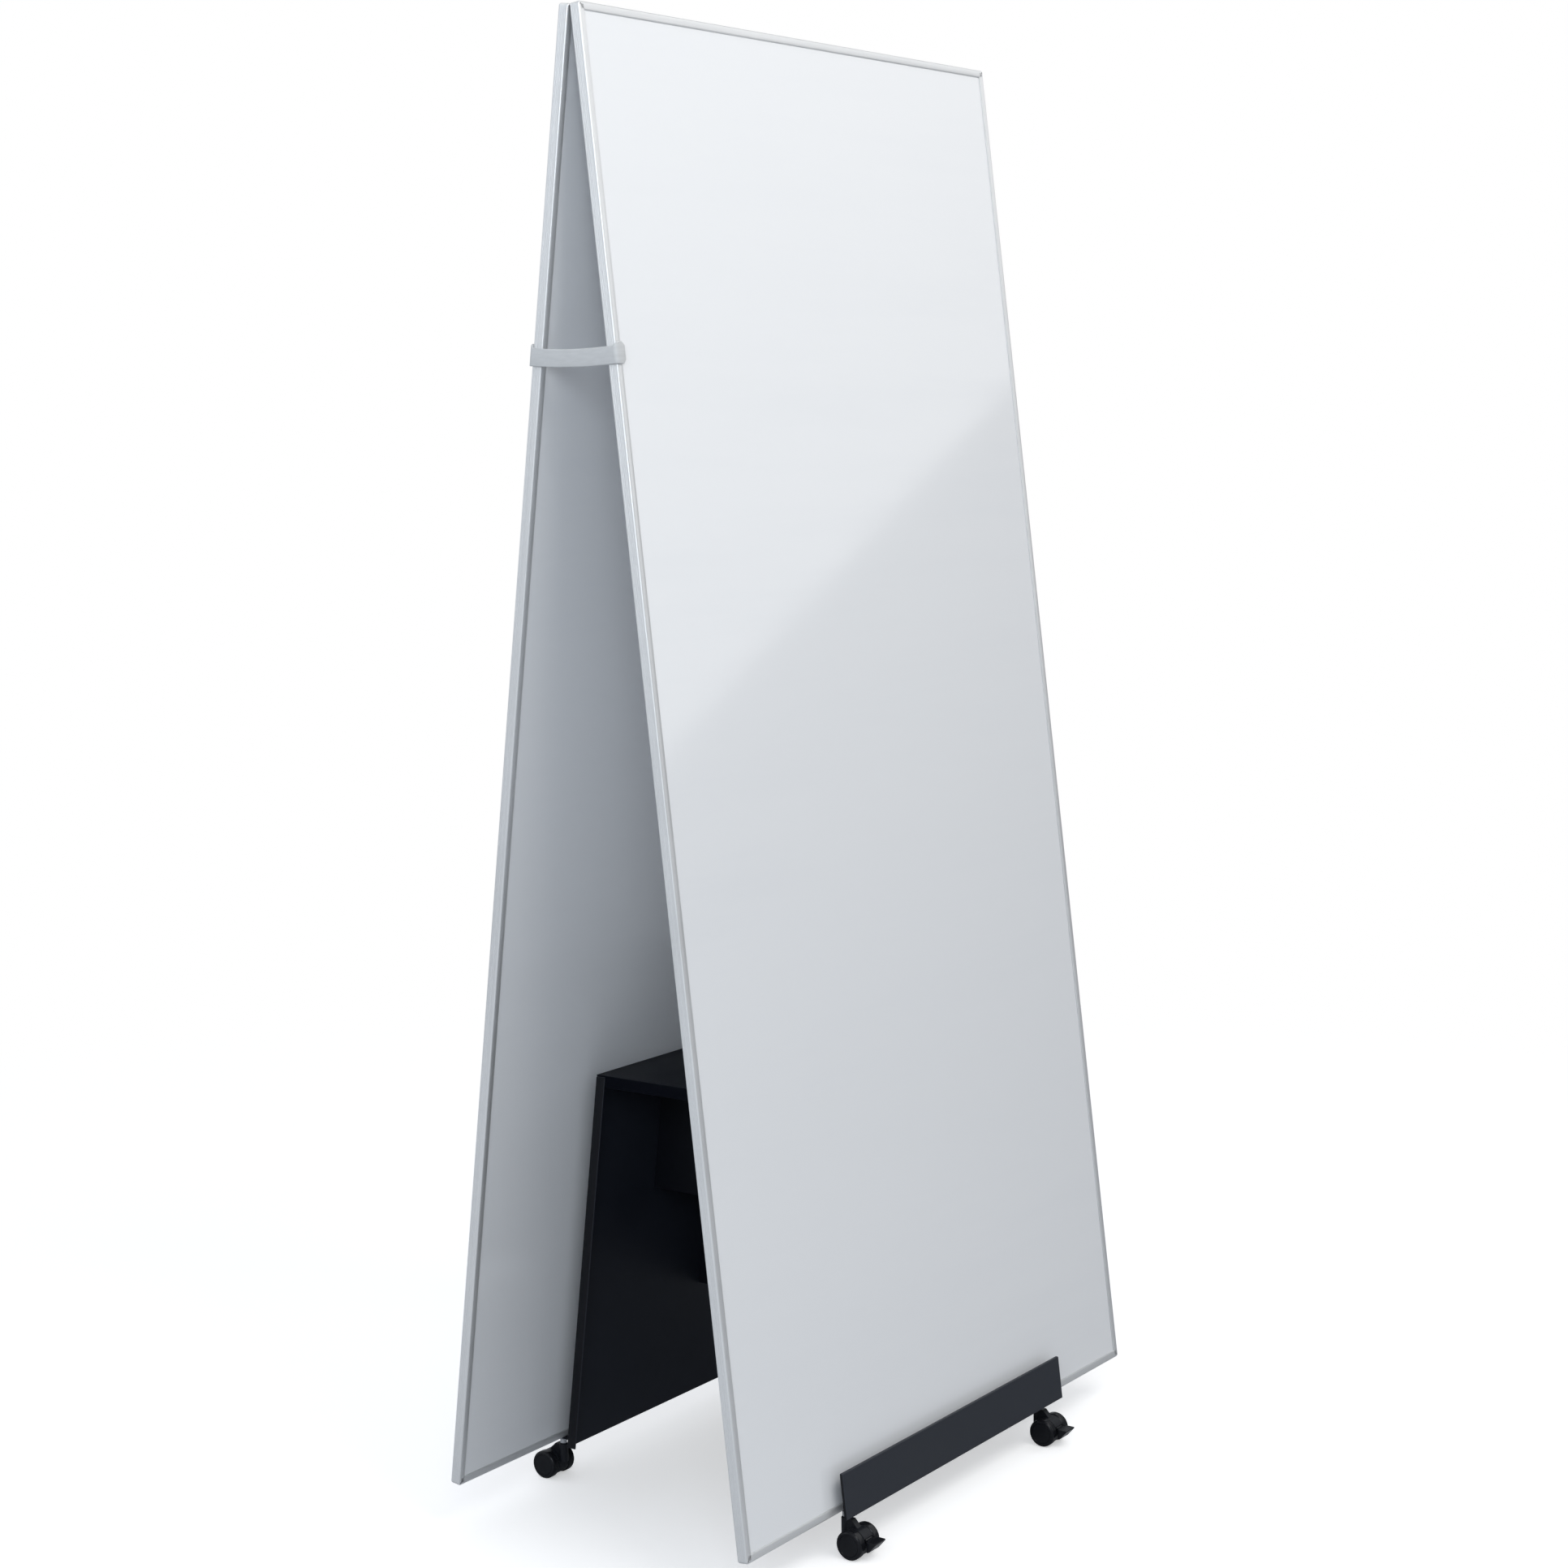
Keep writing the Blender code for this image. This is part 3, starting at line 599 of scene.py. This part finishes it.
def build_clip(end, board):
    """The side clip, with taller rounded hooks and a slight sag, inside its CAD solid."""
    node = f"{end}_strap"
    low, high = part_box(node)
    outside = ENDS[end]
    outer_x = max(abs(low.x), abs(high.x))
    tip_x = min(abs(low.x), abs(high.x))
    web_inner = max(abs(board.width[0]), abs(board.width[1])) + CLIP_GAP
    thick = outer_x - web_inner
    height = high.z - low.z - CLIP_SAG - CLIP_LEG_RISE
    centre_z = high.z - CLIP_LEG_RISE - height / 2
    inner_y = board.outer_y(centre_z, CLIP_GAP)
    lean = abs(board.up.y / board.up.z)
    path = clip_path(tip_x, web_inner, inner_y, thick)
    straight = inner_y - CLIP_HOOK_RADIUS
    rings = []
    for x, y, nx, ny in path:
        on_leg = max(0.0, min(1.0, (abs(y) - straight) / (CLIP_HOOK_RADIUS + thick / 2)))
        cut = max(0.0, CLIP_TIP_CUT - (x - tip_x))
        sag = CLIP_SAG * (1.0 - min(1.0, abs(y) / straight) ** 2)
        section = clip_section(thick, cut - height / 2, height / 2 + CLIP_LEG_RISE * on_leg - cut)
        ring = []
        for across, level in section:
            spread = 1.0 - level * lean / inner_y
            ring.append((outside * (x + nx * across), (y + ny * across) * spread,
                         centre_z + level - sag))
        rings.append(ring)
    mesh = loft(node + "_detail", rings, CLIP_SHARP_ANGLE)
    return make_piece(node + "_detail", mesh, node, "clip_plastic", [node])


# ---- Castors ------------------------------------------------------------------------------------

def build_wheel(node, outward):
    """A twin wheel: crowned tread, round shoulder and a recessed ring on its outer face."""
    low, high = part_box(node)
    centre = (low + high) / 2
    radius = (high.z - low.z) / 2
    half = (high.x - low.x) / 2
    blind = half - WHEEL_BLIND
    profile = [(blind, 0.0), (blind, WHEEL_BORE), (-half, WHEEL_BORE)]
    profile += [(depth - half, across) for depth, across in WHEEL_HUB]
    profile += [(depth - half, radius - down) for depth, down in WHEEL_RIM]
    profile += [(half - SHOULDER_RADIUS - SHOULDER_LEAD, radius)]
    shoulder = (half - SHOULDER_RADIUS - WHEEL_FACE_SINK, radius - SHOULDER_RADIUS)
    profile += arc(shoulder, SHOULDER_RADIUS, *SHOULDER_ARC, SHOULDER_STEPS)
    profile += [(half - depth, across) for depth, across in WHEEL_FACE]

    def place(along, u, v):
        """The point at this distance outward along the axle, and u, v across it."""
        return (centre.x + outward * along, centre.y + u, centre.z + v)

    mesh = lathe(node + "_detail", profile, place, WHEEL_STEPS)
    return make_piece(node + "_detail", mesh, node, "castor_plastic", [node])


def build_stem(base, joint):
    """Plated swivel pin with a chamfered collar."""
    node = f"{base}_stem"
    low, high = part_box(node)
    x, y = joint["pos_m"][:2]
    collar = (high.x - low.x) / 2
    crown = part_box(f"{base}_housing")[1].z
    start = crown + COLLAR_GAP
    profile = [(low.z, 0.0), (low.z, PIN_RADIUS - PIN_CHAMFER), (low.z + PIN_CHAMFER, PIN_RADIUS)]
    profile += [(start, PIN_RADIUS), (start, collar - COLLAR_CHAMFER[1])]
    profile += [(start + COLLAR_CHAMFER[0], collar)]
    profile += [(high.z - down, collar - inward) for down, inward in COLLAR_POINTS]
    profile += [(high.z, 0.0)]
    mesh = lathe(node + "_detail", profile, lambda along, u, v: (x + u, y + v, along), STEM_STEPS)
    return make_piece(node + "_detail", mesh, "caddy", "zinc_steel", [node])


def build_castor(base):
    """The detailed pieces of one castor."""
    joint = next(j for j in frame["joints"] if j["child"] == base)
    build_stem(base, joint)
    for end, x_side in ENDS.items():
        build_wheel(f"{base}_{end}_wheel", x_side)
    bevelled_copy(f"{base}_housing", "castor_plastic", HOUSING_BEVEL, "castor_hood")
    pedal = f"{base}_brake_pedal"
    if pedal in frame["nodes"]:
        bevelled_copy(pedal, "castor_plastic", PEDAL_BEVEL)


# ---- Studio -------------------------------------------------------------------------------------

FLOOR_RADIUS = 30.0
FLOOR_SEGMENTS = 96
FLOOR_FADE_START = 0.9
FLOOR_FADE_END = 3.0
FLOOR_GLOW = 0.45
FLOOR_AXIS = (-0.8, 0.6, 0.0)     # the floor throws most light back on this side of the object
FLOOR_DULL = (0.28, 0.29, 0.31)
FLOOR_PALE = (0.62, 0.63, 0.65)
BACKGROUND = 1.0
AMBIENT_COLOUR = (0.945, 0.985, 1.035, 1.0)
AMBIENT_AXIS = (-0.75, 0.60, 0.25)  # the surroundings are brightest this way
AMBIENT_LOW = 0.17
AMBIENT_HIGH = 0.93
SIDE_BOX = {"middle": (3.0, -2.105, 1.447), "tilt": math.radians(28.9), "size": (5.0, 3.2),
            "power": 50.0}        # middle is that of its lower edge
AIMED_BOXES = {
    "top_softbox": {"place": (-0.3, -2.4, 3.6), "aim": (0.0, 0.0, 1.6), "size": (2.5, 1.5),
                    "power": 54.0, "colour": (1.0, 0.975, 0.925)},
    "left_softbox": {"place": (-3.6, -1.9, 2.3), "aim": (0.0, 0.0, 1.0), "size": (2.0, 1.4),
                     "power": 42.0, "colour": (0.90, 0.99, 1.06)},
}

CAMERA_PLACE = (-3.0434, -2.0696, 1.3639)
CAMERA_YAW = math.radians(36.988)
CAMERA_PITCH = math.radians(5.009)
CAMERA_ROLL = math.radians(-0.7905)
CAMERA_LENS = 65.69
CAMERA_SENSOR = 36.0
CAMERA_SHIFT = (0.0797, -0.0699)


def build_floor():
    """A wide round floor under the object."""
    bm = bmesh.new()
    bmesh.ops.create_circle(bm, cap_ends=True, radius=FLOOR_RADIUS, segments=FLOOR_SEGMENTS)
    mesh = bpy.data.meshes.new("studio_floor")
    bm.to_mesh(mesh)
    bm.free()
    floor = bpy.data.objects.new("studio_floor", mesh)
    mesh.materials.append(floor_paint())
    bpy.context.collection.objects.link(floor)


def build_world():
    """White background, with surroundings that are brighter behind and to the left of the object."""
    world = bpy.data.worlds.new("studio")
    bpy.context.scene.world = world
    world.use_nodes = True
    nodes = Nodes(world.node_tree)
    surroundings = nodes.tree.nodes["Background"]
    surroundings.inputs["Color"].default_value = AMBIENT_COLOUR
    towards = nodes.node("ShaderNodeTexCoord").outputs["Generated"]
    strength = nodes.spread(nodes.along(towards, AMBIENT_AXIS), AMBIENT_LOW, AMBIENT_HIGH, -1.0, 1.0)
    nodes.plug(strength, surroundings.inputs["Strength"])
    backdrop = nodes.node("ShaderNodeBackground", Strength=BACKGROUND, Color=WHITE)
    shown = nodes.for_camera(surroundings.outputs["Background"], backdrop.outputs["Background"])
    nodes.plug(shown, nodes.tree.nodes["World Output"].inputs["Surface"])


def add_softbox(name, middle, across, up, size, power):
    """A rectangular area light, from its middle and the directions of its two sides."""
    light = bpy.data.lights.new(name, "AREA")
    light.shape = "RECTANGLE"
    light.size, light.size_y = size
    light.energy = power
    lamp = bpy.data.objects.new(name, light)
    rotation = Matrix((across, up, across.cross(up))).transposed()
    lamp.matrix_world = Matrix.Translation(middle) @ rotation.to_4x4()
    lamp.visible_camera = False
    bpy.context.collection.objects.link(lamp)
    return lamp


def add_side_box():
    """The softbox at the right, facing -X, whose slanting lower edge shows in the front board's gloss."""
    tilt = SIDE_BOX["tilt"]
    along = Vector((0.0, math.cos(tilt), math.sin(tilt)))
    up = Vector((0.0, -math.sin(tilt), math.cos(tilt)))
    middle = Vector(SIDE_BOX["middle"]) + up * SIDE_BOX["size"][1] / 2
    add_softbox("side_softbox", middle, along, up, SIDE_BOX["size"], SIDE_BOX["power"])


def add_aimed_box(name):
    """A softbox that faces a point of the object: one over the front board, one at the open left end."""
    box = AIMED_BOXES[name]
    place = Vector(box["place"])
    back = (place - Vector(box["aim"])).normalized()
    across = Vector((0.0, 0.0, 1.0)).cross(back).normalized()
    lamp = add_softbox(name, place, across, back.cross(across), box["size"], box["power"])
    lamp.data.color = box["colour"]


def build_camera():
    """The camera, with its small lens shift."""
    yaw, pitch, roll = CAMERA_YAW, CAMERA_PITCH, CAMERA_ROLL
    ahead = Vector((math.cos(yaw) * math.cos(pitch), math.sin(yaw) * math.cos(pitch),
                    -math.sin(pitch)))
    level = Vector((math.sin(yaw), -math.cos(yaw), 0.0))
    above = level.cross(ahead)
    right = level * math.cos(roll) + above * math.sin(roll)
    up = above * math.cos(roll) - level * math.sin(roll)
    data = bpy.data.cameras.new("camera")
    data.lens = CAMERA_LENS
    data.sensor_width = CAMERA_SENSOR
    data.shift_x, data.shift_y = CAMERA_SHIFT
    camera = bpy.data.objects.new("camera", data)
    rotation = Matrix((right, up, -ahead)).transposed()
    camera.matrix_world = Matrix.Translation(CAMERA_PLACE) @ rotation.to_4x4()
    bpy.context.collection.objects.link(camera)
    bpy.context.scene.camera = camera


# ---- Assembly -----------------------------------------------------------------------------------

BODIES = frame["record"]["behaviour"]["bodies"]
MATERIALS = {
    "writing_enamel": enamel(),
    "satin_aluminium": aluminium(),
    "anthracite_steel": powder_coat("anthracite_steel", 0.24, 1.0),
    # painted shade: the lid's copy of the coat is darkened by half and has little shine
    "lid_shaded_coat": powder_coat("lid_shaded_coat", 0.02, 0.5),
    "castor_plastic": black_nylon("castor_plastic", (0.0070, 0.0075, 0.0095), 0.15),
    "castor_hood": black_nylon("castor_hood", (0.008, 0.009, 0.012), 0.34),
    "clip_plastic": clip_plastic(),
    "zinc_steel": zinc(),
    "panel_core": fibreboard(),
    "key_plastic": black_nylon("key_plastic", (0.012, 0.012, 0.014), 0.50),
}
for part in frame["record"]["subparts"]:
    held = frame["nodes"][part["node"]].data.materials
    held.clear()
    held.append(MATERIALS[part["material_slot"]])

boards = {side: Board(side) for side in SIDES}
for side in SIDES:
    build_frame(boards[side])
    bevelled_copy(f"caddy_{side}_wall", "anthracite_steel", SHEET_BEVEL)
    bevelled_copy(f"{side}_tray", "anthracite_steel", SHEET_BEVEL)
    for end in ENDS:
        build_castor(f"castor_{side}_{end}")
# the lid takes the darker copy of the coat, which paints the shade on it
bevelled_copy("caddy_lid", "anthracite_steel", SHEET_BEVEL, "lid_shaded_coat")
for brace in ("left_brace", "centre_brace", "right_brace"):
    bevelled_copy(brace, "anthracite_steel", BRACE_BEVEL)
build_clip("left", boards["front"])

build_floor()
build_world()
add_side_box()
for name in AIMED_BOXES:
    add_aimed_box(name)
build_camera()
bpy.context.scene.view_settings.view_transform = "Standard"
